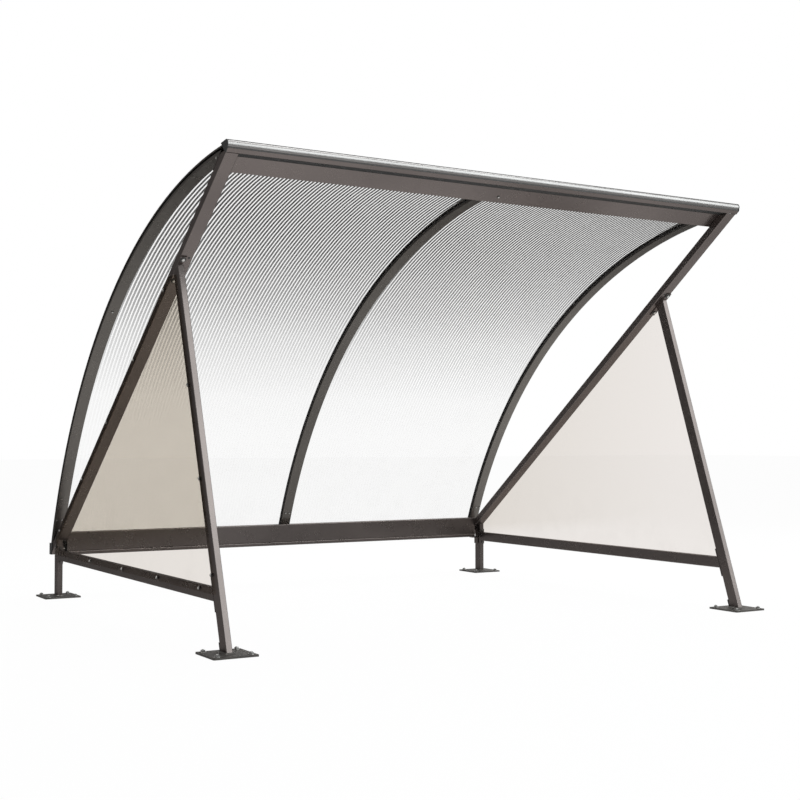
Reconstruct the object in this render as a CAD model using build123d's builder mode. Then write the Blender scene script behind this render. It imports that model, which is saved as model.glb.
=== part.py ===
# Bike shelter: two braced end frames, three curved glazing ribs, a rear beam and a front beam,
# two clear multiwall roof sheets and two clear side panels.
# Frame: X across the width, -Y is the open front, +Z up, z = 0 on the ground.
# The side view is drawn in the YZ plane and given its width along X.

import os
from math import atan2, cos, degrees, hypot, radians, sin, tan

from build123d import *

os.makedirs("parts", exist_ok=True)

# Overall sizes
width = 2900.0  # over the outer faces of the end frames
foot_span = 2373.0  # front edge of the strut at the ground to the front face of the rear post
roof_reach = 2366.0  # front face of the rear post forward to the lower front corner of the frame
front_height = 2087.0  # ground to the lower front corner of the frame
rear_height = 321.0  # ground to the underside of the diagonal at the front face of the rear post

# End frame tubes
frame_wall = 2.0  # wall of every steel tube
tube_corner = 2.0 * frame_wall  # outside corner of every steel tube
diagonal_width = 60.0
diagonal_depth = 40.0
side_tube_width = 30.0  # strut, rear post and side rail, along X
strut_depth = 60.0
post_depth = 60.0
rail_height = 57.0
rail_bottom = 208.0
strut_lean = 18.7  # degrees back from upright

# Feet
foot_plate = 200.0
foot_thickness = 8.0
foot_hole_spacing = 150.0
foot_hole_radius = 7.0
foot_corner = 8.0
heel_height = 38.0
heel_thickness = 6.0

# Bolted end plates of the tubes
end_plate = 5.0
end_plate_overhang = 42.0
rear_plate_overhang = 20.0
strut_plate_front = 48.0  # strut's end plate, ahead of the strut and behind it
strut_plate_back = 68.0

# Rear beam and sill
beam_top = 362.0
beam_depth = 50.0
beam_front = 20.0  # behind the front face of the rear post
sill_height = 20.0
sill_proud = 3.0
ground_gap = 234.0  # ground to the underside of the sill and to the rib ends
corner_plate = 6.0
corner_leg = 45.0

# Front beam and cross plate, measured in the plane of the frame
front_beam_start = 3.0
front_beam_end = 30.5
front_beam_depth = 38.0
cross_plate_start = 79.0
cross_plate_width = 90.0
cross_plate_thickness = 4.0

# Rounded nose along the front beam, and the flashing that laps it and the roof sheets
nose_depth = 14.0  # how far its round face stands out
nose_end_thickness = 3.0
nose_end_proud = 1.0
flashing_height = 35.5  # over the lower front corner of the frame
flashing_length = 54.0
flashing_fall = 6.0
flashing_thickness = 3.0

# Curved ribs and roof sheets
rib_radius = 2750.0  # of the underside
rib_width = 60.0
rib_flange = 12.0
rib_web = 10.0
cap_thickness = 8.0
sheet_thickness = 10.0
sheet_play = 0.4  # sheet to flange and sheet to cap
sheet_edge_play = 3.0  # sheet edge to web
rib_end_thickness = 3.0
rib_end_cheek = 62.0  # height of the cheek on the outer ribs, over the rib's lower end
shoe_start = 84.0  # packer between cross plate and rib, along the frame
shoe_end = 150.0
foot_bracket = 4.0
foot_bracket_drop = 15.0  # its top under the top of the rear beam

# Side panels
panel_thickness = 4.0
panel_overlap = 28.0
panel_top_cut = 95.0  # taken off the sharp top corner, measured down the diagonal

seat = 0.3  # gap where a curved or bevelled piece rests on another

# Frame plane: `along` runs back and down from the front face, `above` is square to it
pitch = degrees(atan2(front_height - rear_height, roof_reach))
run_y = cos(radians(pitch))
run_z = -sin(radians(pitch))

# The part is centred on Y: its front is the front foot plate, its back the rib ends
strut_foot_depth = strut_depth / cos(radians(strut_lean))
front_overhang = foot_span - strut_foot_depth / 2 + foot_plate / 2
cap_underside = rib_flange + sheet_thickness + 2 * sheet_play
roof_top = cap_underside + cap_thickness


def on_frame(along, above, rear_y=0.0):
    """Side view point from its distances along and above the frame plane."""
    y = rear_y - roof_reach + along * run_y - above * run_z
    z = front_height + along * run_z + above * run_y
    return (y, z)


def rib_centre(back, front):
    """Centre of the rib's underside, an arc through its back and front rests."""
    half = hypot(front[0] - back[0], front[1] - back[1]) / 2
    middle = ((back[0] + front[0]) / 2, (back[1] + front[1]) / 2)
    drop = (rib_radius**2 - half**2) ** 0.5
    square = ((back[1] - front[1]) / (2 * half), (front[0] - back[0]) / (2 * half))
    return (middle[0] + square[0] * drop, middle[1] + square[1] * drop)


# The underside rests on the top back edge of the rear beam and the front edge of the cross plate
frame_top = diagonal_depth + cross_plate_thickness + seat
first_centre = rib_centre(
    (beam_front + beam_depth + seat, beam_top),
    on_frame(cross_plate_start, frame_top),
)
rib_back = first_centre[0] + ((rib_radius + roof_top) ** 2 - (ground_gap - first_centre[1]) ** 2) ** 0.5
rear_y = (front_overhang - rib_back) / 2  # front face of the rear post

centre_y = first_centre[0] + rear_y
centre_z = first_centre[1]
strut_y = rear_y - foot_span


def at(along, above):
    return on_frame(along, above, rear_y)


def strut_line(z, back=0.0):
    """Y of the strut's front edge at height z, or of a line `back` behind it, square to the strut."""
    return strut_y + z * tan(radians(strut_lean)) + back / cos(radians(strut_lean))


def diagonal_z(y, above=0.0):
    """Height of a line parallel to the diagonal's underside at y."""
    return rear_height - (y - rear_y) * tan(radians(pitch)) + above / run_y


def strut_meets(back, above=0.0):
    """Point where a line along the strut meets a line along the diagonal."""
    slope = tan(radians(pitch))
    y0 = strut_line(0.0, back)
    z = (diagonal_z(y0, above)) / (1 + slope * tan(radians(strut_lean)))
    return (strut_line(z, back), z)


def rib_y(z, over=0.0):
    """Y on the back of the rib curve, `over` outside the underside, at height z."""
    return centre_y + ((rib_radius + over) ** 2 - (z - centre_z) ** 2) ** 0.5


def rib_angle(y, z):
    return degrees(atan2(z - centre_z, y - centre_y))


def outline(points, mode=Mode.ADD):
    Polygon(*points, align=None, mode=mode)


def bar(points, x_middle, x_width, corner):
    """Straight bar: its side view, its width along X and the rounding of its four long edges."""
    with BuildPart() as solid_bar:
        with BuildSketch(Plane.YZ.offset(x_middle)):
            outline(points)
        extrude(amount=x_width / 2, both=True)
        fillet(solid_bar.edges().sort_by(SortBy.LENGTH)[-4:], radius=corner)
    return solid_bar


def tube(points, bore, x_middle, x_width):
    """Steel tube: its side view `points`, its bore and its width along X."""
    hollow = bar(bore, x_middle, x_width - 2 * frame_wall, tube_corner - frame_wall)
    with BuildPart() as member:
        add(bar(points, x_middle, x_width, tube_corner).part)
        add(hollow.part, mode=Mode.SUBTRACT)
    return member


def tube_section(middle, depth, height, turn=0.0):
    """Section of a tube that runs along X."""
    walls = 2 * frame_wall
    bore_corner = tube_corner - frame_wall
    with Locations(middle):
        RectangleRounded(depth, height, tube_corner, rotation=turn)
        RectangleRounded(depth - walls, height - walls, bore_corner, rotation=turn, mode=Mode.SUBTRACT)


def plate(points, x_middle, x_width):
    """Flat bar or plate: its side view and its width along X."""
    with BuildPart() as flat:
        with BuildSketch(Plane.YZ.offset(x_middle)):
            outline(points)
        extrude(amount=x_width / 2, both=True)
    return flat


def band(inner, outer, start, end):
    """Ring between two distances over the rib's underside, from one angle to another."""
    reach = 2 * rib_radius
    with Locations((centre_y, centre_z)):
        Circle(rib_radius + outer)
        Circle(rib_radius + inner, mode=Mode.SUBTRACT)
    rays = [(centre_y + reach * cos(radians(a)), centre_z + reach * sin(radians(a))) for a in (start, end)]
    outline([(centre_y, centre_z), *rays], Mode.INTERSECT)


def save(piece, name):
    piece.part.label = name
    export_step(piece.part, f"parts/{name}.step")


def roof_front(over):
    """Point where the circle `over` outside the rib's underside comes down on the cross plate."""
    start_y, start_z = at(0.0, frame_top)
    dy, dz = start_y - centre_y, start_z - centre_z
    middle = dy * run_y + dz * run_z
    along = -middle - (middle**2 - dy**2 - dz**2 + (rib_radius + over) ** 2) ** 0.5
    return at(along, frame_top)


overrun = 40.0  # bores run past the tube ends by this much
far = 400.0
past_end = 5.0  # degrees that round bands run past their level cut
half_width = width / 2
sides = {"left": -1, "right": 1}
side_x = half_width - side_tube_width / 2
diagonal_x = half_width - diagonal_width / 2
inner_half_width = half_width - diagonal_width
sheet_under = rib_flange + sheet_play
sheet_over = sheet_under + sheet_thickness
rib_end_angle = rib_angle(rib_y(ground_gap), ground_gap)
sheet_front_angle = rib_angle(*roof_front(sheet_under))
nose_y, nose_z = at(0.0, 0.0)
flashing_front = nose_y + nose_depth
flashing_back = flashing_front + flashing_length
flashing_top = nose_z + flashing_height
flashing_back_top = flashing_top - flashing_fall
nose_middle = nose_z + (flashing_height - flashing_thickness - seat) / 2
fold_low = centre_z + ((rib_radius + sheet_over) ** 2 - (flashing_back - centre_y) ** 2) ** 0.5 + seat
cap_front = flashing_back + seat


def make_foot(x, y, has_heel):
    """Anchor plate; the front ones carry a welded heel tab behind the strut."""
    top = foot_thickness + heel_height
    heel = [
        (strut_line(foot_thickness, strut_depth), foot_thickness),
        (strut_line(foot_thickness, strut_depth + heel_thickness), foot_thickness),
        (strut_line(top, strut_depth + heel_thickness), top),
        (strut_line(top, strut_depth), top),
    ]
    with BuildPart() as foot:
        with BuildSketch(Plane.XY):
            with Locations((x, y)):
                RectangleRounded(foot_plate, foot_plate, foot_corner)
                with GridLocations(foot_hole_spacing, foot_hole_spacing, 2, 2):
                    Circle(foot_hole_radius, mode=Mode.SUBTRACT)
        extrude(amount=foot_thickness)
        if has_heel:
            with BuildSketch(Plane.YZ.offset(x)):
                outline(heel)
            extrude(amount=side_tube_width / 2, both=True)
    return foot


def make_post(x):
    inset = frame_wall
    points = [
        (rear_y, foot_thickness),
        (rear_y + post_depth, foot_thickness),
        (rear_y + post_depth, diagonal_z(rear_y + post_depth)),
        (rear_y, diagonal_z(rear_y)),
    ]
    bore = [
        (rear_y + inset, foot_thickness - overrun),
        (rear_y + post_depth - inset, foot_thickness - overrun),
        (rear_y + post_depth - inset, rear_height + far),
        (rear_y + inset, rear_height + far),
    ]
    return tube(points, bore, x, side_tube_width)


def make_strut(x):
    top = -end_plate
    points = [
        (strut_line(foot_thickness), foot_thickness),
        (strut_line(foot_thickness, strut_depth), foot_thickness),
        strut_meets(strut_depth, top),
        strut_meets(0.0, top),
    ]
    low = foot_thickness - overrun
    bore = [
        (strut_line(low, frame_wall), low),
        (strut_line(low, strut_depth - frame_wall), low),
        strut_meets(strut_depth - frame_wall, overrun),
        strut_meets(frame_wall, overrun),
    ]
    return tube(points, bore, x, side_tube_width)


def make_rail(x):
    top = rail_bottom + rail_height
    play = strut_depth + end_plate
    points = [
        (strut_line(rail_bottom, play), rail_bottom),
        (rear_y - end_plate, rail_bottom),
        (rear_y - end_plate, top),
        (strut_line(top, play), top),
    ]
    bore = [
        (strut_line(rail_bottom) - overrun, rail_bottom + frame_wall),
        (rear_y + overrun, rail_bottom + frame_wall),
        (rear_y + overrun, top - frame_wall),
        (strut_line(top) - overrun, top - frame_wall),
    ]
    return tube(points, bore, x, side_tube_width)


def make_diagonal(x):
    """Diagonal tube, cut level at its foot and to the rib's curve behind."""
    end_along = hypot(roof_reach, front_height - rear_height) + far
    front, back, high = rear_y - 2 * roof_reach, rear_y + far, 2 * front_height
    points = [
        at(front_beam_end, 0.0),
        at(end_along, 0.0),
        at(end_along, diagonal_depth),
        at(front_beam_end, diagonal_depth),
    ]
    bore = [
        at(front_beam_end - overrun, frame_wall),
        at(end_along, frame_wall),
        at(end_along, diagonal_depth - frame_wall),
        at(front_beam_end - overrun, diagonal_depth - frame_wall),
    ]
    with BuildPart() as member:
        add(tube(points, bore, x, diagonal_width).part)
        with BuildSketch(Plane.YZ.offset(x)):
            outline([(front, ground_gap), (back, ground_gap), (back, high), (front, high)])
            with Locations((centre_y, centre_z)):
                Circle(rib_radius - seat, mode=Mode.INTERSECT)
        extrude(amount=diagonal_width, both=True, mode=Mode.INTERSECT)
    return member


def make_side_panel(side):
    low = rail_bottom + rail_height - panel_overlap
    front_back = strut_depth - panel_overlap
    tip = strut_meets(front_back, panel_overlap)
    cut = (tip[0] + panel_top_cut * run_y, tip[1] + panel_top_cut * run_z)
    cut_front = (strut_line(cut[1], front_back), cut[1])
    points = [
        (strut_line(low, front_back), low),
        (rear_y + panel_overlap, low),
        (rear_y + panel_overlap, diagonal_z(rear_y + panel_overlap, panel_overlap)),
        cut,
        cut_front,
    ]
    return plate(points, side * (half_width + panel_thickness / 2), panel_thickness)


def make_strut_plate(side):
    front = strut_meets(0.0)
    back = strut_meets(strut_depth)
    along_front = (front[0] - rear_y + roof_reach) / run_y - strut_plate_front
    along_back = (back[0] - rear_y + roof_reach) / run_y + strut_plate_back
    points = [
        at(along_front, 0.0),
        at(along_back, 0.0),
        at(along_back, -end_plate),
        at(along_front, -end_plate),
    ]
    return plate(points, side * side_x, side_tube_width)


def make_rail_front_plate(x):
    """End plate of the side rail, flat on the back of the strut."""
    lower = rail_bottom - end_plate_overhang
    upper = rail_bottom + rail_height + end_plate_overhang
    lift = end_plate * sin(radians(strut_lean))
    points = [
        (strut_line(lower, strut_depth), lower),
        (strut_line(lower - lift, strut_depth + end_plate), lower - lift),
        (strut_line(upper - lift, strut_depth + end_plate), upper - lift),
        (strut_line(upper, strut_depth), upper),
    ]
    return plate(points, x, side_tube_width)


def make_rail_rear_plate(x):
    lower = rail_bottom - rear_plate_overhang
    upper = rail_bottom + rail_height + rear_plate_overhang
    points = [
        (rear_y - end_plate, lower),
        (rear_y, lower),
        (rear_y, upper),
        (rear_y - end_plate, upper),
    ]
    return plate(points, x, side_tube_width)


def level_cut(level=ground_gap):
    """Cut the current sketch level at the foot of the ribs."""
    low = level - far
    front, back = rear_y - far, rear_y + far
    outline([(front, low), (back, low), (back, level), (front, level)], Mode.SUBTRACT)


def frame_cut():
    """Cut the current sketch along the top of the frame, where the ribs land on it."""
    outline([at(-far, frame_top), at(far, frame_top), at(far, -far), at(-far, -far)], Mode.SUBTRACT)


def make_rib(x):
    """Curved glazing rib: a flange under the sheets and a web between them."""
    flange_front_angle = rib_angle(*roof_front(rib_flange))
    with BuildPart() as rib:
        with BuildSketch(Plane.YZ.offset(x)):
            band(0.0, rib_flange, rib_end_angle - past_end, flange_front_angle)
            frame_cut()
            level_cut()
        extrude(amount=rib_width / 2, both=True)
        with BuildSketch(Plane.YZ.offset(x)):
            band(rib_flange, cap_underside - seat, rib_end_angle - past_end, sheet_front_angle)
            level_cut()
        extrude(amount=rib_web / 2, both=True)
    return rib


def make_rib_cap(x):
    """Clamping cap over the sheet edges along a rib."""
    with BuildPart() as cap:
        with BuildSketch(Plane.YZ.offset(x)):
            band(cap_underside, roof_top, rib_end_angle - past_end, rib_angle(nose_y, flashing_top))
            low, high = nose_z - far, nose_z + far
            outline([(cap_front - far, low), (cap_front, low), (cap_front, high), (cap_front - far, high)],
                    Mode.SUBTRACT)
            level_cut()
        extrude(amount=rib_width / 2, both=True)
    return cap


def make_rib_end(x, side):
    """Closing plate under the lower end of a rib and its cap; an outer one turns up over the rib's side."""
    front, back = rib_y(ground_gap), rib_y(ground_gap, roof_top)
    under = ground_gap - rib_end_thickness
    left, right = sorted((x - side * rib_width / 2, x + side * (rib_width / 2 + rib_end_thickness)))
    if side == 0:
        left, right = x - rib_width / 2, x + rib_width / 2
    cheek_top = ground_gap + rib_end_cheek
    with BuildPart() as end:
        with BuildSketch(Plane.XY.offset(under)):
            outline([(left, front), (right, front), (right, back), (left, back)])
        extrude(amount=rib_end_thickness)
        if side != 0:
            with BuildSketch(Plane.YZ.offset(side * (half_width + rib_end_thickness / 2))):
                outline([(front, under), (back, under), (back, cheek_top), (rib_y(cheek_top), cheek_top)])
            extrude(amount=rib_end_thickness / 2, both=True)
    return end


def make_rib_shoe(x):
    """Packer that fills the wedge between the cross plate and a rib."""
    low = frame_top - seat
    with BuildPart() as shoe:
        with BuildSketch(Plane.YZ.offset(x)):
            outline([at(shoe_start, low), at(shoe_end, low), at(shoe_end, far), at(shoe_start, far)])
            with Locations((centre_y, centre_z)):
                Circle(rib_radius - seat, mode=Mode.INTERSECT)
        extrude(amount=rib_width / 2, both=True)
    return shoe


def make_sheet(side):
    """Multiwall roof sheet between two ribs, its front edge square under the flashing."""
    inner_edge = rib_web / 2 + sheet_edge_play
    outer_edge = diagonal_x - rib_web / 2 - sheet_edge_play
    with BuildPart() as sheet:
        with BuildSketch(Plane.YZ.offset(side * (inner_edge + outer_edge) / 2)):
            band(sheet_under, sheet_over, rib_end_angle - past_end, sheet_front_angle)
            level_cut()
        extrude(amount=(outer_edge - inner_edge) / 2, both=True)
    return sheet


def make_rear_beam():
    low = ground_gap + sill_height
    with BuildPart() as beam:
        with BuildSketch(Plane.YZ):
            middle = (rear_y + beam_front + beam_depth / 2, (low + beam_top) / 2)
            tube_section(middle, beam_depth, beam_top - low)
        extrude(amount=inner_half_width, both=True)
    return beam


def make_rear_sill():
    """Lower sill under the rear beam, standing a little proud of it."""
    depth = beam_depth + sill_proud
    with BuildPart() as sill:
        with BuildSketch(Plane.YZ):
            middle = (rear_y + beam_front + beam_depth - depth / 2, ground_gap + sill_height / 2)
            tube_section(middle, depth, sill_height)
        extrude(amount=inner_half_width, both=True)
    return sill


def make_corner_bracket(side):
    """Angle between the rear post and the sill: one leg on the post, one under the sill's end."""
    outer = half_width - side_tube_width
    front = rear_y + beam_front
    back = rear_y + post_depth
    with BuildPart() as bracket:
        for reach, drop in ((corner_leg, corner_plate), (corner_plate, corner_leg)):
            inner = outer - reach
            with BuildSketch(Plane.XY.offset(ground_gap - drop)):
                corners = [(inner, front), (outer, front), (outer, back), (inner, back)]
                outline([(side * x, y) for x, y in corners])
            extrude(amount=drop)
    return bracket


def make_rib_foot():
    """U bracket that carries the middle rib off the back of the rear beam."""
    back = rear_y + beam_front + beam_depth
    top = beam_top - foot_bracket_drop
    outer = rib_width / 2 - foot_bracket
    with BuildPart() as bracket:
        with BuildSketch(Plane.YZ):
            outline([(back, ground_gap), (back + far, ground_gap), (back + far, top), (back, top)])
            with Locations((centre_y, centre_z)):
                Circle(rib_radius - seat, mode=Mode.INTERSECT)
        extrude(amount=outer, both=True)
        with BuildSketch(Plane.YZ):
            near = back + foot_bracket
            outline([(near, ground_gap), (back + far, ground_gap), (back + far, top), (near, top)])
        extrude(amount=outer - foot_bracket, both=True, mode=Mode.SUBTRACT)
    return bracket


def make_front_beam():
    """Tube between the upper ends of the diagonals."""
    with BuildPart() as beam:
        with BuildSketch(Plane.YZ):
            middle = at((front_beam_start + front_beam_end) / 2, front_beam_depth / 2)
            tube_section(middle, front_beam_end - front_beam_start, front_beam_depth, -pitch)
        extrude(amount=half_width, both=True)
    return beam


def make_cross_plate():
    start = cross_plate_start
    end = cross_plate_start + cross_plate_width
    low = diagonal_depth
    high = diagonal_depth + cross_plate_thickness
    return plate([at(start, low), at(end, low), at(end, high), at(start, high)], 0.0, width)


def under_flashing(y):
    fall = flashing_fall * (y - flashing_front) / flashing_length
    return flashing_top - flashing_thickness - seat - fall


def make_front_nose():
    """Bull nose on the face of the front beam, under the flashing."""
    top = under_flashing(flashing_front)
    behind = nose_y + far
    back = front_beam_start - seat
    with BuildPart() as nose:
        with BuildSketch(Plane.YZ):
            with Locations((flashing_front, nose_middle)):
                Ellipse(nose_depth, top - nose_middle)
            outline([(flashing_front, nose_z), (behind, nose_z), (behind, under_flashing(behind)),
                     (flashing_front, top)])
            outline([at(-far, 0.0), at(back, 0.0), at(back, front_beam_depth), at(-far, front_beam_depth)],
                    Mode.INTERSECT)
        extrude(amount=half_width, both=True)
    return nose


def make_front_flashing():
    """Strip over the nose, the front beam and the sheet ends, folded down onto the sheets."""
    with BuildPart() as flashing:
        with BuildSketch(Plane.YZ):
            outline([
                (flashing_front, flashing_top - flashing_thickness),
                (flashing_back - flashing_thickness, flashing_back_top - flashing_thickness),
                (flashing_back - flashing_thickness, fold_low),
                (flashing_back, fold_low),
                (flashing_back, flashing_back_top),
                (flashing_front, flashing_top),
            ])
        extrude(amount=half_width, both=True)
    return flashing


def make_nose_end(side):
    """Closing plate over the ends of the nose, the front beam and the flashing."""
    proud = nose_end_proud
    with BuildPart() as end:
        with BuildSketch(Plane.YZ.offset(side * (half_width + nose_end_thickness / 2))):
            with Locations((flashing_front, nose_middle)):
                Ellipse(nose_depth + proud, flashing_top - nose_middle)
            outline([
                (nose_y - proud, nose_middle),
                at(front_beam_start, -proud),
                at(front_beam_end, -proud),
                (flashing_back, flashing_back_top - flashing_thickness),
                (flashing_back, flashing_back_top),
                (flashing_front, flashing_top),
            ])
        extrude(amount=nose_end_thickness / 2, both=True)
    return end


for side_name, side in sides.items():
    x = side * side_x
    save(make_foot(x, strut_y + strut_foot_depth / 2, True), f"front_foot_{side_name}")
    save(make_foot(x, rear_y + post_depth / 2, False), f"rear_foot_{side_name}")
    save(make_post(x), f"rear_post_{side_name}")
    save(make_strut(x), f"front_strut_{side_name}")
    save(make_rail(x), f"side_rail_{side_name}")
    save(make_diagonal(side * diagonal_x), f"diagonal_{side_name}")
    save(make_side_panel(side), f"side_panel_{side_name}")
    save(make_strut_plate(side), f"strut_plate_{side_name}")
    save(make_rail_front_plate(x), f"rail_front_plate_{side_name}")
    save(make_rail_rear_plate(x), f"rail_rear_plate_{side_name}")
    save(make_sheet(side), f"roof_sheet_{side_name}")

rib_sides = {"left": -1, "middle": 0, "right": 1}
for rib_name, side in rib_sides.items():
    x = side * diagonal_x
    save(make_rib(x), f"rib_{rib_name}")
    save(make_rib_cap(x), f"rib_cap_{rib_name}")
    save(make_rib_end(x, side), f"rib_end_{rib_name}")
    save(make_rib_shoe(x), f"rib_shoe_{rib_name}")

save(make_rear_beam(), "rear_beam")
save(make_rear_sill(), "rear_sill")
save(make_rib_foot(), "rib_foot_middle")
save(make_front_beam(), "front_beam")
save(make_front_nose(), "front_nose")
save(make_front_flashing(), "front_flashing")
save(make_cross_plate(), "cross_plate")
for side_name, side in sides.items():
    save(make_corner_bracket(side), f"corner_bracket_{side_name}")
    save(make_nose_end(side), f"nose_end_{side_name}")
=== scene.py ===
# Bike shelter: painted steel frame, curved roof of clear fluted sheet and clear side panels.
# Metres; X runs across the width, -Y is the open front, Z is up.
from math import atan2, cos, radians, sin

import bmesh
import bpy
import numpy as np
from mathutils import Matrix, Vector


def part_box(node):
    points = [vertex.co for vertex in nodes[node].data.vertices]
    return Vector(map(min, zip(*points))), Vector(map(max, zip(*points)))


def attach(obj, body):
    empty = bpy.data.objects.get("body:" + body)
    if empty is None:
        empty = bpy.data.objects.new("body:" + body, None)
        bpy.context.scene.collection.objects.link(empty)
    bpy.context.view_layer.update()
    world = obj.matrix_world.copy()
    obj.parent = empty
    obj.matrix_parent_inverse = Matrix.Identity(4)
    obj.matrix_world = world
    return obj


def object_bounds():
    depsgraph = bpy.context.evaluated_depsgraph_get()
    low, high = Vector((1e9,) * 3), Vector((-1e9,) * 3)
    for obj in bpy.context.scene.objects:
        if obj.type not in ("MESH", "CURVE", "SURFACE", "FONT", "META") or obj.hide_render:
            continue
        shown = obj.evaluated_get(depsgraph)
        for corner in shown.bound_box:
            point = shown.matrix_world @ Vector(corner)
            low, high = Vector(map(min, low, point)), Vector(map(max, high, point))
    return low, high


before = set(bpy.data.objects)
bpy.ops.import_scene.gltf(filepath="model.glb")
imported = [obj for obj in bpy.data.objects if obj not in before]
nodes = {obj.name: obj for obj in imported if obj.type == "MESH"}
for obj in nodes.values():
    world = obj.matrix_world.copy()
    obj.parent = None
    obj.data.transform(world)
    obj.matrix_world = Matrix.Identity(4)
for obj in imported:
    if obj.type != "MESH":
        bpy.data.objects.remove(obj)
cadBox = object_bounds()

scene = bpy.context.scene
scene.view_settings.view_transform = "Standard"
scene.cycles.transparent_max_bounces = 24  # sight lines pass two panels and both roof skins
sides = ((-1, "left"), (1, "right"))
frontAxis = (0.0, -1.0, 0.0)
touching = 0.00001  # points nearer than this are one
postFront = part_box("rear_post_left")[0].y  # front face of the rear posts
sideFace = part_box("front_strut_right")[1].x  # outer face of the end frames
print("frame loaded:", len(nodes), "nodes")


# helpers for node trees and meshes
def addNode(tree, kind, inputs=None, **settings):
    node = tree.nodes.new("ShaderNode" + kind)
    for name, value in settings.items():
        setattr(node, name, value)
    for name, value in (inputs or {}).items():
        if isinstance(value, bpy.types.NodeSocket):
            tree.links.new(value, node.inputs[name])
        else:
            node.inputs[name].default_value = value
    return node


def addMath(tree, operation, first, second, third=None):
    inputs = {0: first, 1: second}
    if third is not None:
        inputs[2] = third
    return addNode(tree, "Math", inputs, operation=operation).outputs[0]


def addVector(tree, operation, first, second):
    return addNode(tree, "VectorMath", {0: first, 1: second}, operation=operation).outputs["Value"]


def addMix(tree, factor, first, second):
    return addNode(tree, "Mix", {0: factor, 6: first, 7: second}, data_type="RGBA").outputs[2]


def addBlend(tree, factor, first, second):
    return addNode(tree, "Mix", {0: factor, 2: first, 3: second}).outputs[0]


def addRange(tree, value, low, high, outLow=0.0, outHigh=1.0):
    inputs = {"Value": value, "From Min": low, "From Max": high, "To Min": outLow, "To Max": outHigh}
    return addNode(tree, "MapRange", inputs, clamp=True).outputs[0]


def addNoise(tree, place, size, detail, rough=0.5):
    inputs = {"Vector": place, "Scale": size, "Detail": detail, "Roughness": rough}
    return addNode(tree, "TexNoise", inputs).outputs[0]


def addBump(tree, height, strength, distance):
    inputs = {"Height": height, "Strength": strength, "Distance": distance}
    return addNode(tree, "Bump", inputs).outputs[0]


def addPlace(tree):
    return addNode(tree, "TexCoord").outputs["Object"]


def addUp(tree, vector):
    return addNode(tree, "SeparateXYZ", {0: vector}).outputs[2]


def addFacing(tree):
    return addNode(tree, "LayerWeight", {"Blend": 0.5}).outputs["Facing"]


def addSeen(tree):
    path = addNode(tree, "LightPath").outputs
    return path, addMath(tree, "MAXIMUM", path["Is Camera Ray"], path["Is Transmission Ray"])


def newGroup(name, inputs, outputs):
    group = bpy.data.node_groups.new(name, "ShaderNodeTree")
    for socketName, kind, value in inputs:
        socket = group.interface.new_socket(socketName, in_out="INPUT", socket_type="NodeSocket" + kind)
        socket.default_value = value
    for socketName, kind in outputs:
        group.interface.new_socket(socketName, in_out="OUTPUT", socket_type="NodeSocket" + kind)
    return group, group.nodes.new("NodeGroupInput").outputs, group.nodes.new("NodeGroupOutput").inputs


def useGroup(tree, group, inputs):
    node = addNode(tree, "Group", node_tree=group)
    for name, value in inputs.items():
        node.inputs[name].default_value = value
    return node.outputs


def newMaterial(name):
    material = bpy.data.materials.new(name)
    material.use_nodes = True
    tree = material.node_tree
    tree.nodes.clear()
    return material, tree, tree.nodes.new("ShaderNodeOutputMaterial").inputs[0]


def addObject(mesh, name, *materials, smooth=False):
    data = bpy.data.meshes.new(name)
    mesh.to_mesh(data)
    mesh.free()
    if smooth:
        data.shade_smooth()
    piece = bpy.data.objects.new(name, data)
    scene.collection.objects.link(piece)
    for material in materials:
        data.materials.append(material)
    return piece


def finishPiece(mesh, name, *materials, smooth=False):
    bmesh.ops.recalc_face_normals(mesh, faces=mesh.faces)
    piece = addObject(mesh, name, *materials, smooth=smooth)
    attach(piece, "root")
    return piece


def roundEdges(mesh, edges, amount):
    bmesh.ops.bevel(mesh, geom=list(edges), offset=amount, affect="EDGES", segments=2, profile=0.5,
                    material=-1)


# camera
cameraSet = {
    "lens": 59.18,
    "x": -3.607, "beforePosts": 7.3467, "z": 0.8715,
    "tilt": 91.83, "turn": -30.91,  # degrees
}
camera = bpy.data.objects.new("camera", bpy.data.cameras.new("camera"))
camera.data.lens = cameraSet["lens"]
camera.location = (cameraSet["x"], postFront - cameraSet["beforePosts"], cameraSet["z"])
camera.rotation_euler = (radians(cameraSet["tilt"]), 0.0, radians(cameraSet["turn"]))
scene.collection.objects.link(camera)
scene.camera = camera

# room and floor, white to the eye and graded for gloss
white = (1.0, 1.0, 1.0, 1.0)
roomSet = {
    "worldLevel": 0.35,  # what the room gives to matt surfaces
    "glossHorizon": 0.25, "glossTop": 0.60, "climb": (0.05, 0.85),  # what gloss shows of it, going up
    "floorHalf": 60.0, "floorDrop": 0.0008,
    "floorColour": 0.85, "floorGrain": 0.98, "grain": (40.0, 3.0),
    "floorShown": 0.97,  # the rest is matt and takes the shadow
    "glossNear": 1.0, "glossFar": 0.45, "fadeEdges": (2.5, 7.0),  # the glow in gloss fades with distance
    "glossSlant": 0.50, "slantEdges": (0.20, 0.80),  # and towards the horizon
    "glossShade": 0.60, "shadeEdges": (0.9, 1.7), "shadeCentre": (0.0, 1.0, 0.0),  # and under the roof
}

world = bpy.data.worlds.new("room")
world.use_nodes = True
scene.world = world
tree = world.node_tree
tree.nodes.clear()
path, seen = addSeen(tree)
climb = addUp(tree, addNode(tree, "TexCoord").outputs["Generated"])
gloss = addRange(tree, climb, *roomSet["climb"], roomSet["glossHorizon"], roomSet["glossTop"])
level = addBlend(tree, seen, addBlend(tree, path["Is Glossy Ray"], roomSet["worldLevel"], gloss), 1.0)
sky = addNode(tree, "Background", {"Color": white, "Strength": level})
tree.links.new(sky.outputs[0], tree.nodes.new("ShaderNodeOutputWorld").inputs[0])

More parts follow.
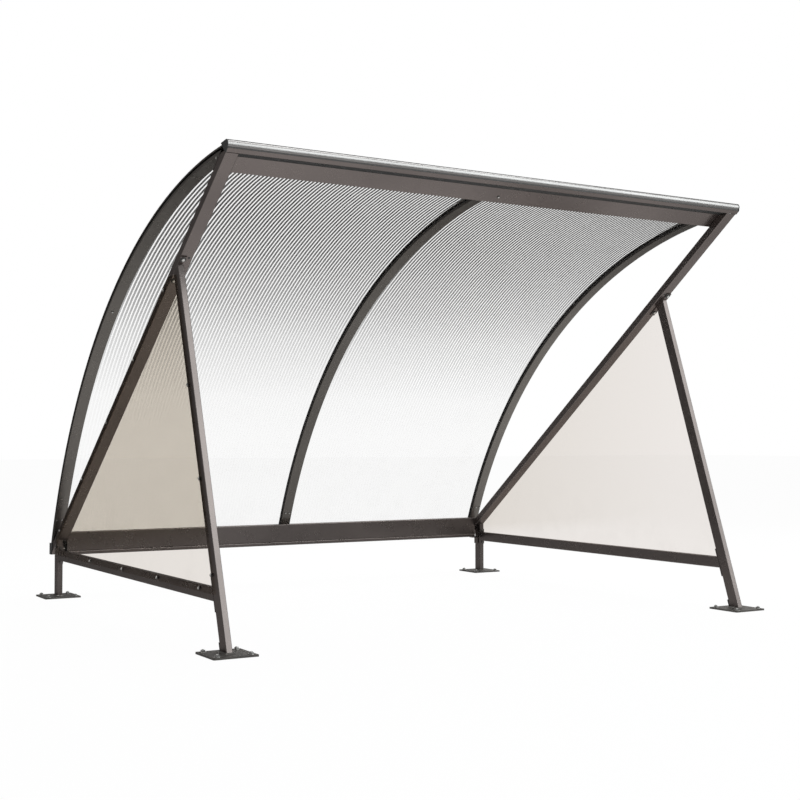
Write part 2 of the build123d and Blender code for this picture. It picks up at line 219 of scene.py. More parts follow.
floorPaint, tree, out = newMaterial("floorPaint")
place = addPlace(tree)
grain = addNoise(tree, place, *roomSet["grain"])
pale = roomSet["floorColour"]
dim = pale * roomSet["floorGrain"]
grained = addMix(tree, grain, (pale, pale, pale, 1.0), (dim, dim, dim, 1.0))
matt = addNode(tree, "BsdfDiffuse", {"Color": grained})
path, seen = addSeen(tree)
distance = addVector(tree, "LENGTH", place, (0.0, 0.0, 0.0))
gloss = addRange(tree, distance, *roomSet["fadeEdges"], roomSet["glossNear"], roomSet["glossFar"])
slant = addRange(tree, addFacing(tree), *roomSet["slantEdges"], 1.0, roomSet["glossSlant"])
gloss = addMath(tree, "MULTIPLY", gloss, slant)
fromShade = addVector(tree, "DISTANCE", place, roomSet["shadeCentre"])
shade = addRange(tree, fromShade, *roomSet["shadeEdges"], roomSet["glossShade"], 1.0)
level = addBlend(tree, seen, addMath(tree, "MULTIPLY", gloss, shade), 1.0)
glow = addNode(tree, "Emission", {"Color": white, "Strength": level})
shown = addMath(tree, "MAXIMUM", seen, path["Is Glossy Ray"])
share = addMath(tree, "MULTIPLY", shown, roomSet["floorShown"])
both = addNode(tree, "MixShader", {0: share, 1: matt.outputs[0], 2: glow.outputs[0]})
tree.links.new(both.outputs[0], out)
mesh = bmesh.new()
bmesh.ops.create_grid(mesh, x_segments=1, y_segments=1, size=roomSet["floorHalf"])
bmesh.ops.translate(mesh, vec=(0.0, 0.0, -roomSet["floorDrop"]), verts=mesh.verts)
floor = addObject(mesh, "floor", floorPaint)

# lights
lampSet = {
    "keySoftbox": {"place": (3.4, -6.0, 5.0), "aim": (0.0, -0.9, 1.2), "size": (8.4, 6.4), "power": 500.0,
                   "colour": (0.92, 0.98, 1.0)},
    "topSoftbox": {"place": (0.6, 1.4, 5.8), "aim": (0.2, -0.8, 1.8), "size": (6.0, 5.0), "power": 285.0,
                   "colour": (0.97, 0.99, 1.0)},
    "backSoftbox": {"place": (4.6, 4.6, 4.2), "aim": (0.0, -1.0, 1.9), "size": (6.0, 3.2), "power": 140.0,
                    "colour": (1.0, 1.0, 1.0)},
}
for lampName, values in lampSet.items():
    lamp = bpy.data.lights.new(lampName, "AREA")
    lamp.shape = "RECTANGLE"
    lamp.size, lamp.size_y = values["size"]
    lamp.energy = values["power"]
    lamp.color = values["colour"]
    holder = bpy.data.objects.new(lampName, lamp)
    holder.location = values["place"]
    toAim = Vector(values["aim"]) - Vector(values["place"])
    holder.rotation_euler = toAim.to_track_quat("-Z", "Y").to_euler()
    holder.visible_camera = False
    scene.collection.objects.link(holder)
print("camera, room and lamps set")


# powder coat: drifts of tone, settled dust, paler flecks, orange peel and a shaded underside
coatLook = {
    "drift": (2.3, 3.0), "driftRange": (0.35, 0.65), "darkShare": 0.86,  # noises by size, detail, roughness
    "cloud": (14.0, 5.0, 0.6), "cloudRange": (0.42, 0.7), "settleRange": (0.2, 1.0, 0.25, 1.0),
    "dustColour": (0.36, 0.33, 0.29, 1.0), "dustRough": 0.5,
    "speck": (1500.0, 1.0), "speckRange": (0.62, 0.75), "speckHeight": 0.15,
    "fleckColour": (0.3, 0.28, 0.26, 1.0), "fleckShare": 0.12,
    "peel": (420.0, 1.0), "peelDistance": 0.0004,
    "underEdges": (-0.8, -0.1),  # how far a face looks down, from fully shaded to not at all
}
coatGroup, given, result = newGroup(
    "powderCoat",
    [("Colour", "Color", (0.1, 0.09, 0.08, 1.0)), ("Dust", "Float", 0.1), ("Gloss Break", "Float", 0.06),
     ("Base Roughness", "Float", 0.4), ("Under Shade", "Float", 1.0)],
    [("Colour", "Color"), ("Roughness", "Float"), ("Height", "Float")],
)
place = addPlace(coatGroup)
drift = addNoise(coatGroup, place, *coatLook["drift"])
cloud = addNoise(coatGroup, place, *coatLook["cloud"])
speck = addNoise(coatGroup, place, *coatLook["speck"])
peel = addNoise(coatGroup, place, *coatLook["peel"])
darker = addNode(coatGroup, "HueSaturation", {"Color": given["Colour"], "Value": coatLook["darkShare"]})
drifting = addRange(coatGroup, drift, *coatLook["driftRange"])
varied = addMix(coatGroup, drifting, darker.outputs[0], given["Colour"])
up = addUp(coatGroup, addNode(coatGroup, "NewGeometry").outputs["Normal"])
settled = addMath(coatGroup, "MULTIPLY", addRange(coatGroup, up, *coatLook["settleRange"]),
                  addRange(coatGroup, cloud, *coatLook["cloudRange"]))
dust = addMath(coatGroup, "MULTIPLY", settled, given["Dust"])
dusty = addMix(coatGroup, dust, varied, coatLook["dustColour"])
flecks = addRange(coatGroup, speck, *coatLook["speckRange"], 0.0, coatLook["fleckShare"])
flecked = addMix(coatGroup, flecks, dusty, coatLook["fleckColour"])
under = addRange(coatGroup, up, *coatLook["underEdges"], given["Under Shade"], 1.0)
shaded = addNode(coatGroup, "VectorMath", {0: flecked, "Scale": under}, operation="SCALE").outputs[0]
coatGroup.links.new(shaded, result["Colour"])
spread = addMath(coatGroup, "MULTIPLY", addMath(coatGroup, "SUBTRACT", cloud, 0.5), given["Gloss Break"])
clean = addMath(coatGroup, "ADD", given["Base Roughness"], spread)
rough = addMath(coatGroup, "MULTIPLY_ADD", dust, coatLook["dustRough"], clean)
coatGroup.links.new(rough, result["Roughness"])
height = addMath(coatGroup, "MULTIPLY_ADD", speck, coatLook["speckHeight"], peel)
coatGroup.links.new(height, result["Height"])

# clear plastic: a faint change of gloss and slow waves
clearLook = {
    "cloud": (6.0, 6.0, 0.62), "cloudRange": (0.3, 0.8), "smooth": 0.03, "dull": 0.12,
    "wave": (2.2, 1.0), "waveDistance": 0.004,
    "slantRange": (0.32, 0.62), "edgePower": 5.0,
    "splashRange": (0.45, 0.75), "filmRough": 0.7,
}
clearGroup, given, result = newGroup(
    "clearPlastic",
    [("Smooth", "Float", clearLook["smooth"]), ("Dull", "Float", clearLook["dull"])],
    [("Roughness", "Float"), ("Height", "Float")],
)
place = addPlace(clearGroup)
cloud = addNoise(clearGroup, place, *clearLook["cloud"])
rough = addRange(clearGroup, cloud, *clearLook["cloudRange"], given["Smooth"], given["Dull"])
clearGroup.links.new(rough, result["Roughness"])
clearGroup.links.new(addNoise(clearGroup, place, *clearLook["wave"]), result["Height"])
print("node groups made")


# painted finishes
coatSet = {
    "framePaint": {"colour": (0.172, 0.148, 0.140), "roughness": 0.28, "glossBreak": 0.08, "metallic": 0.9,
                   "specular": 0.4, "edge": 0.4, "dust": 0.03, "peel": 0.2, "underShade": 1.0},
    "profilePaint": {"colour": (0.166, 0.153, 0.140), "roughness": 0.28, "glossBreak": 0.08, "metallic": 0.9,
                     "specular": 0.4, "edge": 0.4, "dust": 0.03, "peel": 0.2, "underShade": 1.0},
    # painted highlight: the nose is the profile paint made paler to brighten its highlight, and its Under
    # Shade is painted shade on its lower faces
    "noseLitPaint": {"colour": (0.375, 0.362, 0.353), "roughness": 0.40, "glossBreak": 0.05, "metallic": 0.9,
                  "specular": 0.5, "edge": 1.0, "dust": 0.03, "peel": 0.1, "underShade": 0.62},
    "footPaint": {"colour": (0.125, 0.117, 0.110), "roughness": 0.42, "glossBreak": 0.16, "metallic": 0.7,
                  "specular": 0.4, "edge": 0.4, "dust": 0.12, "peel": 0.3, "underShade": 1.0},
    "endPlastic": {"colour": (0.022, 0.022, 0.022), "roughness": 0.55, "glossBreak": 0.12, "metallic": 0.0,
                   "specular": 0.4, "edge": 1.0, "dust": 0.08, "peel": 0.45, "underShade": 1.0},
}


def makeCoat(name, values):
    material, tree, out = newMaterial(name)
    coat = useGroup(tree, coatGroup, {
        "Colour": (*values["colour"], 1.0), "Dust": values["dust"], "Gloss Break": values["glossBreak"],
        "Base Roughness": values["roughness"], "Under Shade": values["underShade"]})
    bump = addBump(tree, coat["Height"], values["peel"], coatLook["peelDistance"])
    shader = addNode(tree, "BsdfPrincipled", {
        "Base Color": coat["Colour"], "Roughness": coat["Roughness"], "Metallic": values["metallic"],
        "Normal": bump, "Specular IOR Level": values["specular"],
        "Specular Tint": (values["edge"], values["edge"], values["edge"], 1.0)})
    tree.links.new(shader.outputs[0], out)
    return material


coats = {name: makeCoat(name, values) for name, values in coatSet.items()}

# bolts, washers, anchors and rubber
steelLook = {
    "cloud": (260.0, 4.0, 0.6), "toneRange": (0.35, 0.7), "roughRange": (0.3, 0.7),
    "scratch": (1800.0, 2.0), "scratchBump": (0.15, 0.0003),
}
steelSet = {
    "boltSteel": {"colour": (0.62, 0.61, 0.59), "dull": (0.42, 0.41, 0.39), "roughness": (0.18, 0.34),
                  "metallic": 1.0},
    "darkSteel": {"colour": (0.150, 0.140, 0.132), "dull": (0.09, 0.084, 0.08), "roughness": (0.28, 0.45),
                  "metallic": 0.8},
    "zincSteel": {"colour": (0.40, 0.395, 0.385), "dull": (0.26, 0.255, 0.245), "roughness": (0.30, 0.48),
                  "metallic": 1.0},
    "rubber": {"colour": (0.042, 0.040, 0.038), "dull": (0.054, 0.051, 0.049), "roughness": (0.55, 0.75),
               "metallic": 0.0},
}


def makeSteel(name, values):
    material, tree, out = newMaterial(name)
    place = addPlace(tree)
    cloud = addNoise(tree, place, *steelLook["cloud"])
    scratch = addNoise(tree, place, *steelLook["scratch"])
    worn = addRange(tree, cloud, *steelLook["toneRange"])
    shader = addNode(tree, "BsdfPrincipled", {
        "Base Color": addMix(tree, worn, (*values["colour"], 1.0), (*values["dull"], 1.0)),
        "Metallic": values["metallic"], "Normal": addBump(tree, scratch, *steelLook["scratchBump"]),
        "Roughness": addRange(tree, cloud, *steelLook["roughRange"], *values["roughness"])})
    tree.links.new(shader.outputs[0], out)
    return material


steels = {name: makeSteel(name, values) for name, values in steelSet.items()}

# clear sheets: tint deepens with the slant of the glance, and on the side panels, as painted shade, above a
# sloping line; rain splash hazes the foot
clearSet = {
    "panelClear": {"tint": (0.921, 0.901, 0.885), "slantTint": (0.777, 0.743, 0.693), "mirror": 0.001,
                   "mirrorEdge": 0.03, "wave": 0.12, "haze": 0.003, "dust": 0.03, "splash": (0.7, 0.22),
                   "dustColour": (0.45, 0.42, 0.38), "paleSlope": 0.095, "paleEdge": (0.345, 0.425),
                   "paleShare": 0.2},
    "roofClear": {"tint": (0.979, 0.979, 0.978), "slantTint": (0.977, 0.977, 0.975), "mirror": 0.002,
                  "mirrorEdge": 0.06, "wave": 0.10, "haze": 0.003, "dust": 0.03, "splash": (1.2, 0.25),
                  "dustColour": (0.6, 0.58, 0.55), "paleSlope": 0.0, "paleEdge": (0.1, 0.2),
                  "paleShare": 1.0},
}


def makeClear(name, values):
    material, tree, out = newMaterial(name)
    clear = useGroup(tree, clearGroup, {"Smooth": clearLook["smooth"], "Dull": clearLook["dull"]})
    bump = addBump(tree, clear["Height"], values["wave"], clearLook["waveDistance"])
    facing = addFacing(tree)
    place = addPlace(tree)
    # painted shade: below a sloping line the slant tint is weakened, so a side panel is darker above it, in
    # front of the shaded space under the roof
    rise = addVector(tree, "DOT_PRODUCT", place, (0.0, values["paleSlope"], 1.0))
    deep = addRange(tree, rise, *values["paleEdge"], values["paleShare"], 1.0)
    slanted = addMath(tree, "MULTIPLY", addRange(tree, facing, *clearLook["slantRange"]), deep)
    through = addMix(tree, slanted, (*values["tint"], 1.0), (*values["slantTint"], 1.0))
    window = addNode(tree, "BsdfTransparent", {"Color": through})
    mirror = addNode(tree, "BsdfGlossy", {"Color": white, "Roughness": clear["Roughness"], "Normal": bump})
    edge = addMath(tree, "POWER", facing, clearLook["edgePower"])
    gloss = addMath(tree, "MULTIPLY_ADD", edge, values["mirrorEdge"], values["mirror"])
    skin = addNode(tree, "MixShader", {0: gloss, 1: window.outputs[0], 2: mirror.outputs[0]})
    low = addRange(tree, addUp(tree, place), *values["splash"])
    patches = addRange(tree, addNoise(tree, place, *clearLook["cloud"]), *clearLook["splashRange"])
    splash = addMath(tree, "MULTIPLY", low, patches)
    dusty = addMath(tree, "MULTIPLY_ADD", splash, values["dust"], values["haze"])
    film = addNode(tree, "BsdfPrincipled", {
        "Base Color": (*values["dustColour"], 1.0), "Roughness": clearLook["filmRough"]})
    both = addNode(tree, "MixShader", {0: dusty, 1: skin.outputs[0], 2: film.outputs[0]})
    tree.links.new(both.outputs[0], out)
    return material


clears = {name: makeClear(name, values) for name, values in clearSet.items()}

slotMaterial = {
    "frame_paint": coats["framePaint"],
    "profile_paint": coats["profilePaint"],
    "foot_paint": coats["footPaint"],
    "end_plastic": coats["endPlastic"],
    "roof_multiwall": clears["roofClear"],
    "panel_clear": clears["panelClear"],
}
for node in nodes.values():
    for slot in node.material_slots:
        slot.material = slotMaterial[slot.material.name.split(".")[0]]
# the nose takes the paler copy of the profile paint, a painted highlight
nodes["front_nose"].material_slots[0].material = coats["noseLitPaint"]
print("frame materials set")


# directions and places on the frame, read from its nodes
edgeSet = {"merge": 0.00002, "flat": 0.01, "sideways": 0.0001}  # metres, radians, metres


def longEdge(name):
    mesh = bmesh.new()
    mesh.from_mesh(nodes[name].data)
    bmesh.ops.remove_doubles(mesh, verts=mesh.verts, dist=edgeSet["merge"])
    bmesh.ops.dissolve_limit(mesh, angle_limit=edgeSet["flat"], verts=mesh.verts, edges=mesh.edges)
    sideEdges = [e for e in mesh.edges if abs(e.verts[0].co.x - e.verts[1].co.x) < edgeSet["sideways"]]
    edge = max(sideEdges, key=lambda e: e.calc_length())
    first, last = sorted((v.co.copy() for v in edge.verts), key=lambda p: -p.z)
    mesh.free()
    return (last - first).normalized()


def leastAlong(name, direction):
    return min(v.co.dot(direction) for v in nodes[name].data.vertices)


alongFrame = longEdge("strut_plate_left")  # down and back along the diagonals
aboveFrame = Vector((0.0, -alongFrame.z, alongFrame.y))
downStrut = longEdge("rail_front_plate_left")
behindStrut = Vector((0.0, -downStrut.z, downStrut.y))
underDiagonal = leastAlong("diagonal_left", aboveFrame)
frameCorner = alongFrame * leastAlong("front_beam", alongFrame) + aboveFrame * underDiagonal
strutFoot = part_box("front_strut_left")[0]


def onFrame(x, along, above):
    return frameCorner + alongFrame * along + aboveFrame * above + Vector((x, 0.0, 0.0))


def onStrut(x, z, back):
    climb = (z - strutFoot.z - back * behindStrut.z) / downStrut.z
    return Vector((x, strutFoot.y, strutFoot.z)) + downStrut * climb + behindStrut * back


# the roof's arc, fitted to a sheet's own points
def middleArc(name):
    points = np.array([(v.co.y, v.co.z) for v in nodes[name].data.vertices])
    sums = (points ** 2).sum(1)
    y, z, rest = np.linalg.lstsq(np.c_[2 * points, np.ones(len(points))], sums, rcond=None)[0]
    return Vector((0.0, y, z)), (rest + y * y + z * z) ** 0.5


def arcAngle(y, z):
    return atan2(z - arcCentre.z, y - arcCentre.y)


def arcPoint(x, angle, over):
    reach = arcRadius + over
    return Vector((x, arcCentre.y + reach * cos(angle), arcCentre.z + reach * sin(angle)))


def arcReaches(name):
    return [(Vector((0.0, v.co.y, v.co.z)) - arcCentre).length for v in nodes[name].data.vertices]


def addPoint(mesh, x, angle, over):
    return bmesh.ops.create_vert(mesh, co=arcPoint(x, angle, over))["vert"][0]


def spinRound(mesh, geometry, start, end, steps):
    bmesh.ops.spin(mesh, geom=geometry, cent=arcCentre, axis=(1.0, 0.0, 0.0), angle=end - start, steps=steps)


arcCentre, arcRadius = middleArc("roof_sheet_left")
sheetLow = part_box("roof_sheet_left")[0].z
sheetFront = min((v.co for v in nodes["roof_sheet_left"].data.vertices), key=lambda p: p.y)
lowAngle = arcAngle(arcCentre.y + (arcRadius ** 2 - (sheetLow - arcCentre.z) ** 2) ** 0.5, sheetLow)
highAngle = arcAngle(sheetFront.y, sheetFront.z)

# flute walls inside the roof sheets in painted shade, standing in for the dark seen through the webs, fainter
# towards the rear
fluteSet = {
    "pitch": 0.01941, "share": 0.56, "depth": 0.0010,
    "roof_sheet_left": 0.0092, "roof_sheet_right": 0.0029,  # where a clear gap has its middle
    "edgeGap": 0.001, "endGap": 0.002, "leastWidth": 0.001, "steps": 26,
    "colour": (0.03, 0.027, 0.024, 1.0), "roughness": 0.35,
    "fadeHeights": (0.9, 2.1), "stretch": (60.0, 1.0, 1.0), "streak": (3.0, 2.0),
    "streakRange": (0.3, 0.7, 0.96, 1.0),
    "fade": ((0.0, 0.015), (0.19, 0.06), (0.33, 0.21), (0.47, 0.40), (0.59, 0.65), (0.71, 0.82), (0.78, 0.91),
             (0.87, 0.98), (0.95, 1.0)),
}
# painted shade: the flutes' walls and floors are dark, more so higher up
paintedFluteShade, tree, out = newMaterial("paintedFluteShade")
place = addPlace(tree)
ramp = addNode(tree, "ValToRGB", {0: addRange(tree, addUp(tree, place), *fluteSet["fadeHeights"])})
for k, (at, dark) in enumerate(fluteSet["fade"]):
    element = ramp.color_ramp.elements[k] if k < 2 else ramp.color_ramp.elements.new(at)  # a new ramp has two
    element.position = at
    element.color = (dark, dark, dark, 1.0)
stretched = addNode(tree, "Mapping", {"Vector": place, "Scale": fluteSet["stretch"]}).outputs[0]
streak = addRange(tree, addNoise(tree, stretched, *fluteSet["streak"]), *fluteSet["streakRange"])
shader = addNode(tree, "BsdfPrincipled", {
    "Base Color": fluteSet["colour"], "Roughness": fluteSet["roughness"],
    "Alpha": addMath(tree, "MULTIPLY", ramp.outputs[0], streak)})
tree.links.new(shader.outputs[0], out)

start, end = lowAngle + fluteSet["endGap"] / arcRadius, highAngle - fluteSet["endGap"] / arcRadius
pitch, half, depth = fluteSet["pitch"], fluteSet["pitch"] * fluteSet["share"] / 2, fluteSet["depth"]
for sheet in ("roof_sheet_left", "roof_sheet_right"):
    low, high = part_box(sheet)
    mesh = bmesh.new()
    profile = []
    firstBand, lastBand = (int((edge - fluteSet[sheet]) / pitch) for edge in (low.x, high.x))
    for band in range(firstBand - 1, lastBand + 2):
        middle = fluteSet[sheet] + (band + 0.5) * pitch
        left = max(middle - half, low.x + fluteSet["edgeGap"])
        right = min(middle + half, high.x - fluteSet["edgeGap"])
        if right - left < fluteSet["leastWidth"]:
            continue
        inner, outer = ((left, 0.0), (right, 0.0)), ((left, depth), (right, depth))
        for line in (inner, (inner[0], outer[0]), (inner[1], outer[1])):  # the flute's floor and two walls
            ends = [addPoint(mesh, x, start, rise) for x, rise in line]
            profile += [mesh.edges.new(ends), *ends]
    spinRound(mesh, profile, start, end, fluteSet["steps"])
    flutes = finishPiece(mesh, sheet.replace("roof_sheet", "flutes"), paintedFluteShade, smooth=True)
    print(flutes.name, len(flutes.data.polygons), "faces")


# rubber and closing profiles along the sheet edges
def addStrip(mesh, left, right, under, over, start, end, steps):
    corners = ((left, under), (right, under), (right, over), (left, over))
    verts = [addPoint(mesh, x, start, rise) for x, rise in corners]
    face = mesh.faces.new(verts)
    spinRound(mesh, [face, *face.edges, *verts], start, end, steps)
    bmesh.ops.remove_doubles(mesh, verts=mesh.verts, dist=touching)


stripSet = {
    "sheetHalf": 0.005, "gap": 0.0003,
    "sealLength": 0.105, "sealThickness": 0.0016, "sealShort": 0.0002, "sealSteps": 6,
    "gasketWidth": 0.0035, "gasketHeight": 0.0018, "gasketSteps": 30,
    "profileLength": 0.024, "profileWall": 0.0013, "profileSteps": 2,
}
overSheet = stripSet["sheetHalf"] + stripSet["gap"]
underSheet = -overSheet
sealStart = highAngle - stripSet["sealLength"] / arcRadius
wall = stripSet["profileWall"]
profileStart, profileEnd = lowAngle - wall / arcRadius, lowAngle + stripSet["profileLength"] / arcRadius
for side, nearRib, farRib in (("left", "rib_left", "rib_middle"), ("right", "rib_middle", "rib_right")):
    low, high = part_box("roof_sheet_" + side)
    mesh = bmesh.new()
    addStrip(mesh, low.x, high.x, underSheet - stripSet["sealThickness"], underSheet, sealStart,
             highAngle - stripSet["sealShort"], stripSet["sealSteps"])
    finishPiece(mesh, "front_seal_" + side, steels["rubber"])

    left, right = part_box(nearRib)[1].x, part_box(farRib)[0].x
    height = stripSet["gasketHeight"]
    mesh = bmesh.new()
    for edges in ((left, left + stripSet["gasketWidth"]), (right - stripSet["gasketWidth"], right)):
        addStrip(mesh, *edges, underSheet - height, underSheet, lowAngle, sealStart, stripSet["gasketSteps"])
        addStrip(mesh, *edges, overSheet, overSheet + height, lowAngle, sealStart, stripSet["gasketSteps"])
    finishPiece(mesh, "gaskets_" + side, steels["rubber"])

    mesh = bmesh.new()
    for edges in ((underSheet - wall, underSheet), (overSheet, overSheet + wall)):
        addStrip(mesh, left, right, *edges, profileStart, profileEnd, stripSet["profileSteps"])
    addStrip(mesh, left, right, underSheet, overSheet, profileStart, lowAngle, 1)
    endProfile = finishPiece(mesh, "end_profile_" + side, coats["profilePaint"])

# dark lip along the front edge of the flashing, painted shade for the shadow line between flashing and nose
shadeLipSet = {"thickness": 0.0015, "height": 0.0042, "round": 0.0004}
low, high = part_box("front_flashing")
middle = (0.0, low.y - shadeLipSet["thickness"] / 2, high.z - shadeLipSet["height"] / 2)
mesh = bmesh.new()
made = bmesh.ops.create_cube(mesh, size=1.0)["verts"]
bmesh.ops.scale(mesh, vec=(high.x - low.x, shadeLipSet["thickness"], shadeLipSet["height"]), verts=made)
bmesh.ops.translate(mesh, vec=middle, verts=made)
roundEdges(mesh, mesh.edges, shadeLipSet["round"])
finishPiece(mesh, "flashing_shade_lip", steels["rubber"])


# seals and a shade strip across the front, drawn in the plane of the frame and pulled along X
def makeSealAndShadeStrip(name, outline, left, right, material):
    mesh = bmesh.new()
    face = mesh.faces.new([mesh.verts.new(onFrame(left, along, above)) for along, above in outline])
    made = bmesh.ops.extrude_face_region(mesh, geom=[face])["geom"]
    ends = [v for v in made if isinstance(v, bmesh.types.BMVert)]
    bmesh.ops.translate(mesh, vec=(right - left, 0.0, 0.0), verts=ends)
    finishPiece(mesh, name, material)


# painted shade: a thin black strip wrapped round the beam's corner under the nose stands in for the shadow
# gap between nose and beam
cornerShadeSet = {"thickness": 0.001, "corner": 0.004, "top": 0.0078, "wrap": 50.0, "steps": 5}
low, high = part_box("front_nose")
inner, outer = cornerShadeSet["corner"], cornerShadeSet["corner"] + cornerShadeSet["thickness"]
steps = cornerShadeSet["steps"]
turns = [radians(180.0 + cornerShadeSet["wrap"] * k / steps) for k in range(steps + 1)]
outline = [(0.0, cornerShadeSet["top"]), (-cornerShadeSet["thickness"], cornerShadeSet["top"])]
outline += [(inner + outer * cos(turn), inner + outer * sin(turn)) for turn in turns]
outline += [(inner + inner * cos(turn), inner + inner * sin(turn)) for turn in reversed(turns)]
makeSealAndShadeStrip("corner_shade_strip", outline, low.x, high.x, steels["rubber"])

slotSealSet = {"front": (0.0278, 0.0095), "back": (0.0757, 0.0400), "thickness": 0.0015, "endGap": 0.001}
front, back, thickness = slotSealSet["front"], slotSealSet["back"], slotSealSet["thickness"]
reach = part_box("diagonal_right")[0].x - slotSealSet["endGap"]
outline = [front, back, (back[0], back[1] + thickness), (front[0], front[1] + thickness)]
makeSealAndShadeStrip("slot_seal", outline, -reach, reach, coats["endPlastic"])
print("seals, gaskets, end profiles and lip made")


# weld collars where the tubes stand on their plates
collarSet = {"width": 0.0055, "roundShare": 0.3, "plate": 0.008, "strutDepth": 0.060}


def addCollar(mesh, low, high):
    width = collarSet["width"]
    made = bmesh.ops.create_cube(mesh, size=1.0)["verts"]
    size, centre = high - low, (low + high) / 2
    bmesh.ops.scale(mesh, vec=(size.x + 2 * width, size.y + 2 * width, width), verts=made)
    bmesh.ops.translate(mesh, vec=(centre.x, centre.y, low.z + width / 2), verts=made)
    top = [v for v in made if v.co.z > low.z + width / 2]
    slope = (size.x / (size.x + 2 * width), size.y / (size.y + 2 * width), 1.0)
    bmesh.ops.scale(mesh, vec=slope, verts=top, space=Matrix.Translation((-centre.x, -centre.y, 0.0)))
    roundEdges(mesh, {e for v in top for e in v.link_edges}, width * collarSet["roundShare"])


plate = collarSet["plate"]
strutFace, strutBack = onStrut(0.0, plate, 0.0).y, onStrut(0.0, plate, collarSet["strutDepth"]).y
for side in ("left", "right"):
    post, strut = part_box("rear_post_" + side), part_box("front_strut_" + side)
    for name, (low, high), face, back in (("rear_weld_", post, post[0].y, post[1].y),
                                          ("front_weld_", strut, strutFace, strutBack)):
        mesh = bmesh.new()
        addCollar(mesh, Vector((low.x, face, plate)), Vector((high.x, back, 0.0)))
        collar = finishPiece(mesh, name + side, coats["footPaint"])
print("weld collars made")


# fasteners, each made once standing on z = 0
def makeFastener(steps):
    mesh = bmesh.new()
    top = 0.0
    for radius, depth, corners, rounding, material in steps:
        before = set(mesh.faces)
        seat = Matrix.Translation((0.0, 0.0, top + depth / 2))
        made = bmesh.ops.create_cone(mesh, cap_ends=True, segments=corners, radius1=radius, radius2=radius,
                                     depth=depth, matrix=seat)["verts"]
        peak = top + depth - touching
        rim = {e for v in made for e in v.link_edges if all(w.co.z > peak for w in e.verts)}
        roundEdges(mesh, rim, rounding)
        for face in set(mesh.faces) - before:
            face.material_index = material
        top += depth
    data = bpy.data.meshes.new("fastener")
    mesh.to_mesh(data)
    mesh.free()
    return data


def placeFastener(mesh, name, point, outward, turn):
    before = len(mesh.verts)
    mesh.from_mesh(fasteners[name])
    mesh.verts.ensure_lookup_table()
    facing = Vector(outward).to_track_quat("Z", "Y").to_matrix().to_4x4()
    place = Matrix.Translation(point) @ facing @ Matrix.Rotation(turn, 4, "Z")
    bmesh.ops.transform(mesh, matrix=place, verts=mesh.verts[before:])


# radius, depth, corners, rounding and material of each step, from the seat outwards
fastenerSet = {
    "panel": [(0.0090, 0.0018, 20, 0.0006, 0), (0.0055, 0.0045, 16, 0.0018, 1)],
    "ringed": [(0.0145, 0.0020, 24, 0.0005, 2), (0.0078, 0.0036, 20, 0.0012, 1)],
    "hole": [(0.0062, 0.0006, 16, 0.0002, 2)],
    "plate": [(0.0095, 0.0015, 20, 0.0003, 0), (0.0075, 0.0050, 6, 0.0007, 0)],
    "anchor": [(0.0140, 0.0025, 24, 0.0005, 1), (0.0100, 0.0068, 6, 0.0010, 0),
               (0.0052, 0.0028, 12, 0.0008, 1)],
    "screw": [(0.0080, 0.0012, 20, 0.0003, 0), (0.0050, 0.0035, 6, 0.0006, 1)],
}
fasteners = {name: makeFastener(steps) for name, steps in fastenerSet.items()}

# bolts through the side panels
panelBoltSet = {
    "railBehindPosts": (-0.596, -1.099, -1.582, -2.085),
    "diagonalAlong": (0.887, 1.384, 1.882, 2.377, 2.873),
    "strutHeights": (0.316, 0.716, 1.121),
    "panelThickness": 0.004, "strutDepth": 0.060, "inFromEdge": 0.014, "turn": 0.7,
}
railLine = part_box("side_rail_left")[1].z - panelBoltSet["inFromEdge"]
strutLine = panelBoltSet["strutDepth"] - panelBoltSet["inFromEdge"]
for side, name in sides:
    face = side * (sideFace + panelBoltSet["panelThickness"])
    spots = [Vector((face, postFront + y, railLine)) for y in panelBoltSet["railBehindPosts"]]
    spots += [onFrame(face, along, panelBoltSet["inFromEdge"]) for along in panelBoltSet["diagonalAlong"]]
    spots += [onStrut(face, z, strutLine) for z in panelBoltSet["strutHeights"]]
    mesh = bmesh.new()
    for k, spot in enumerate(spots):
        placeFastener(mesh, "panel", spot, (side, 0.0, 0.0), k * panelBoltSet["turn"])
    finishPiece(mesh, "panel_bolts_" + name, steels["rubber"], steels["boltSteel"])

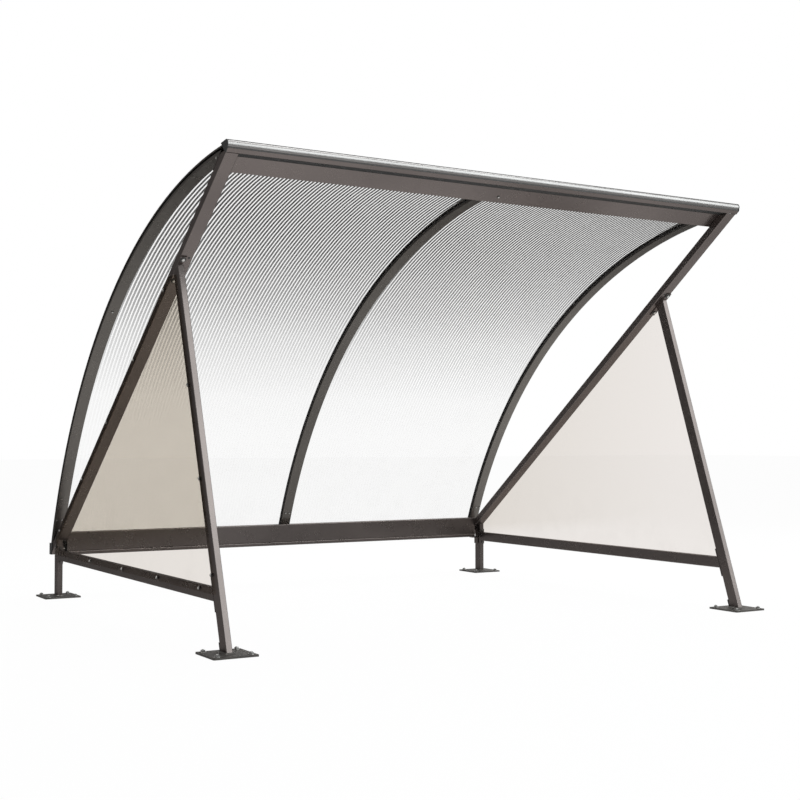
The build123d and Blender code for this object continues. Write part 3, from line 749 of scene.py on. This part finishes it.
# bolts of the end plates, with a drain hole, a bracket bolt and a shoe screw on each side
jointSet = {
    "strutPlate": (0.663, 0.801), "railFrontBack": 0.065, "railFrontIn": 0.021, "railRearIn": 0.010,
    "drain": (1.408, 0.655),  # out from the middle, along the frame
    "bracketBolt": (0.028, 0.281),  # behind the post's front face, over the ground
    "shoeScrew": (0.107, 0.052),  # along and above the frame
    "turn": 9.0, "smallTurn": 0.3, "drainTurn": 0.2,
}
plateFace = leastAlong("strut_plate_left", aboveFrame) - underDiagonal
for side, name in sides:
    outward = (side, 0.0, 0.0)
    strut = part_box("front_strut_" + name)
    tubeMiddle = (strut[0].x + strut[1].x) / 2
    mesh = bmesh.new()
    for along in jointSet["strutPlate"]:
        spot = onFrame(tubeMiddle, along, plateFace)
        placeFastener(mesh, "ringed", spot, -aboveFrame, along * jointSet["turn"])
    out, along = jointSet["drain"]
    placeFastener(mesh, "hole", onFrame(side * out, along, 0.0), -aboveFrame, jointSet["drainTurn"])
    low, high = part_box("rail_front_plate_" + name)
    for z in (low.z + jointSet["railFrontIn"], high.z - jointSet["railFrontIn"]):
        spot = onStrut(tubeMiddle, z, jointSet["railFrontBack"])
        placeFastener(mesh, "plate", spot, behindStrut, z * jointSet["turn"])
    low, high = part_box("rail_rear_plate_" + name)
    for z in (low.z + jointSet["railRearIn"], high.z - jointSet["railRearIn"]):
        placeFastener(mesh, "plate", Vector((tubeMiddle, low.y, z)), frontAxis, z * jointSet["turn"])
    behind, height = jointSet["bracketBolt"]
    spot = Vector((side * sideFace, postFront + behind, height))
    placeFastener(mesh, "plate", spot, outward, jointSet["smallTurn"])
    spot = onFrame(side * sideFace, *jointSet["shoeScrew"])
    placeFastener(mesh, "screw", spot, outward, jointSet["smallTurn"])
    finishPiece(mesh, "joint_bolts_" + name, steels["darkSteel"], steels["boltSteel"], steels["rubber"])

# screws down the rib caps, kept clear of the front and of the flashing
capScrewSet = {"first": 0.16, "spacing": 0.46, "count": 8, "frontGap": 0.03, "topGap": 0.008, "turn": 0.9}
for name in ("left", "middle", "right"):
    low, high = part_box("rib_cap_" + name)
    capOver = max(arcReaches("rib_cap_" + name)) - arcRadius
    mesh = bmesh.new()
    for k in range(capScrewSet["count"]):
        angle = lowAngle + (capScrewSet["first"] + k * capScrewSet["spacing"]) / arcRadius
        point = arcPoint((low.x + high.x) / 2, angle, capOver)
        if point.y > low.y + capScrewSet["frontGap"] and point.z < cadBox[1].z - capScrewSet["topGap"]:
            placeFastener(mesh, "screw", point, (0.0, cos(angle), sin(angle)), k * capScrewSet["turn"])
    finishPiece(mesh, "cap_screws_" + name, steels["darkSteel"], steels["boltSteel"])

# screws under the ribs, as x and height, and one through the cross plate into the middle shoe
ribScrewSet = {
    "left": ((-1.443, 0.430), (-1.414, 0.430), (-1.4223, 1.536)),
    "middle": ((-0.0125, 0.430), (0.0125, 0.430)),
    "right": ((1.414, 0.430), (1.443, 0.430)),
    "plateAlong": 0.130, "plateTurn": 0.4,
}
for name in ("left", "middle", "right"):
    ribUnder = min(arcReaches("rib_" + name))
    mesh = bmesh.new()
    for x, height in ribScrewSet[name]:
        rise = height - arcCentre.z
        back = (ribUnder * ribUnder - rise * rise) ** 0.5
        placeFastener(mesh, "screw", Vector((x, arcCentre.y + back, height)), (0.0, -back, -rise), x)
    if name == "middle":
        underPlate = leastAlong("cross_plate", aboveFrame) - underDiagonal
        spot = onFrame(0.0, ribScrewSet["plateAlong"], underPlate)
        placeFastener(mesh, "screw", spot, -aboveFrame, ribScrewSet["plateTurn"])
    finishPiece(mesh, "rib_screws_" + name, steels["darkSteel"], steels["boltSteel"])

# ground anchors at the corners of each foot plate
anchorSet = {"spacing": 0.150, "plate": 0.008, "turn": 0.8}
half = anchorSet["spacing"] / 2
for foot in ("front_foot_left", "front_foot_right", "rear_foot_left", "rear_foot_right"):
    low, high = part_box(foot)
    centre = (low + high) / 2
    mesh = bmesh.new()
    for k, (dx, dy) in enumerate(((-half, -half), (half, -half), (half, half), (-half, half))):
        spot = Vector((centre.x + dx, centre.y + dy, anchorSet["plate"]))
        placeFastener(mesh, "anchor", spot, (0.0, 0.0, 1.0), k * anchorSet["turn"])
    finishPiece(mesh, foot.replace("foot", "anchors"), steels["zincSteel"], steels["boltSteel"])
print("fasteners placed")
